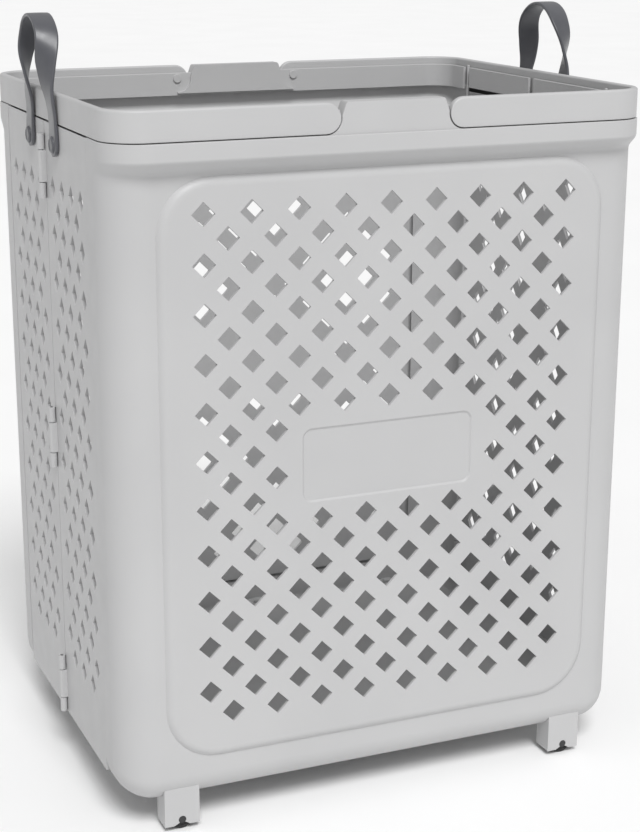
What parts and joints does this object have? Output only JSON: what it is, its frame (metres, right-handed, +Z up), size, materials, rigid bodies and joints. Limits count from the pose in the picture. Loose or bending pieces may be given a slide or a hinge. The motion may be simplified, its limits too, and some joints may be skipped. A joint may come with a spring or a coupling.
{
  "type": "linen trolley",
  "caption": "Free-standing folding linen trolley: two tub-shaped shells and perforated leaves that fold flat, with swing-up rim frames, strap handles, floor flaps and small casters.",
  "frame": {"origin": "on the ground, under the middle of the trolley", "axes": "+X across the trolley to the right as seen from the front, -Y towards the front, +Z up"},
  "size_m": [0.4994, 0.38, 0.67],
  "materials": {
    "body_plastic": "fine satin, injection moulded",
    "strap": "soft elastomer with a light sheen",
    "wheel": "matt",
    "steel": "drawn wire",
    "axle": "dark moulded nylon"
  },
  "bodies": {
    "root": {"rear_shell": "body_plastic", "rear_lattice": "body_plastic", "rear_rim_pins": "body_plastic", "rear_floor_pins": "steel", "left_rear_hinge_rod": "body_plastic", "left_rear_caster_housing": "body_plastic", "left_rear_axle": "axle", "right_rear_hinge_rod": "body_plastic", "right_rear_caster_housing": "body_plastic", "right_rear_axle": "axle"},
    "front_shell": {"front_shell": "body_plastic", "front_lattice": "body_plastic", "front_rim_pins": "body_plastic", "front_floor_pins": "steel", "left_front_hinge_rod": "body_plastic", "left_front_caster_housing": "body_plastic", "left_front_axle": "axle", "right_front_hinge_rod": "body_plastic", "right_front_caster_housing": "body_plastic", "right_front_axle": "axle"},
    "left_rear_leaf": {"left_rear_leaf": "body_plastic", "left_rear_floor_ledge": "body_plastic", "left_mid_hinge_pins": "steel", "left_rear_strap_button": "strap", "left_strap": "strap"},
    "left_front_leaf": {"left_front_leaf": "body_plastic", "left_front_floor_ledge": "body_plastic", "left_front_strap_button": "strap"},
    "left_rim_frame": {"left_rim_frame": "body_plastic"},
    "right_rear_leaf": {"right_rear_leaf": "body_plastic", "right_rear_floor_ledge": "body_plastic", "right_mid_hinge_pins": "steel", "right_rear_strap_button": "strap", "right_strap": "strap"},
    "right_front_leaf": {"right_front_leaf": "body_plastic", "right_front_floor_ledge": "body_plastic", "right_front_strap_button": "strap"},
    "right_rim_frame": {"right_rim_frame": "body_plastic"},
    "rear_floor_flap": {"rear_floor_flap": "body_plastic"},
    "front_floor_flap": {"front_floor_flap": "body_plastic"},
    "left_rear_wheel": {"left_rear_wheel": "wheel"},
    "left_front_wheel": {"left_front_wheel": "wheel"},
    "right_rear_wheel": {"right_rear_wheel": "wheel"},
    "right_front_wheel": {"right_front_wheel": "wheel"}
  },
  "joints": [
    {"name": "fold", "type": "hinge", "parent": "root", "child": "left_rear_leaf", "pos_m": [-0.228, 0.128, 0.3], "axis": [0, 0, 1], "range_deg": [0, 77]},
    {"name": "left_mid_hinge", "type": "hinge", "parent": "left_rear_leaf", "child": "left_front_leaf", "pos_m": [-0.24, 0, 0.3], "axis": [0, 0, -1], "range_deg": [0, 154], "deforming": ["left_strap"]},
    {"name": "left_front_hinge", "type": "hinge", "parent": "left_front_leaf", "child": "front_shell", "pos_m": [-0.228, -0.128, 0.3], "axis": [0, 0, 1], "range_deg": [0, 77]},
    {"name": "right_rear_hinge", "type": "hinge", "parent": "root", "child": "right_rear_leaf", "pos_m": [0.228, 0.128, 0.3], "axis": [0, 0, -1], "range_deg": [0, 77]},
    {"name": "right_mid_hinge", "type": "hinge", "parent": "right_rear_leaf", "child": "right_front_leaf", "pos_m": [0.24, 0, 0.3], "axis": [0, 0, 1], "range_deg": [0, 154], "deforming": ["right_strap"]},
    {"name": "rear_floor_lift", "type": "hinge", "parent": "root", "child": "rear_floor_flap", "pos_m": [0, 0.169, 0.0504], "axis": [-1, 0, 0], "range_deg": [0, 90]},
    {"name": "front_floor_lift", "type": "hinge", "parent": "front_shell", "child": "front_floor_flap", "pos_m": [0, -0.169, 0.0504], "axis": [1, 0, 0], "range_deg": [0, 90]},
    {"name": "left_rim_swing", "type": "hinge", "parent": "root", "child": "left_rim_frame", "pos_m": [-0.06, 0, 0.5957], "axis": [0, 1, 0], "range_deg": [0, 100]},
    {"name": "right_rim_swing", "type": "hinge", "parent": "root", "child": "right_rim_frame", "pos_m": [0.06, 0, 0.5957], "axis": [0, -1, 0], "range_deg": [0, 100]},
    {"name": "left_rear_wheel_spin", "type": "hinge", "parent": "root", "child": "left_rear_wheel", "pos_m": [-0.185, 0.1635, 0.01], "axis": [0, 1, 0], "continuous": true},
    {"name": "left_front_wheel_spin", "type": "hinge", "parent": "front_shell", "child": "left_front_wheel", "pos_m": [-0.185, -0.1635, 0.01], "axis": [0, 1, 0], "continuous": true},
    {"name": "right_rear_wheel_spin", "type": "hinge", "parent": "root", "child": "right_rear_wheel", "pos_m": [0.185, 0.1635, 0.01], "axis": [0, 1, 0], "continuous": true},
    {"name": "right_front_wheel_spin", "type": "hinge", "parent": "front_shell", "child": "right_front_wheel", "pos_m": [0.185, -0.1635, 0.01], "axis": [0, 1, 0], "continuous": true}
  ],
  "couplings": [
    {"joint": "left_mid_hinge", "follows": "fold", "ratio": 2},
    {"joint": "left_front_hinge", "follows": "fold", "ratio": 1},
    {"joint": "right_rear_hinge", "follows": "fold", "ratio": 1},
    {"joint": "right_mid_hinge", "follows": "fold", "ratio": 2},
    {"joint": "rear_floor_lift", "follows": "fold", "ratio": 1.1688},
    {"joint": "front_floor_lift", "follows": "fold", "ratio": 1.1688}
  ]
}
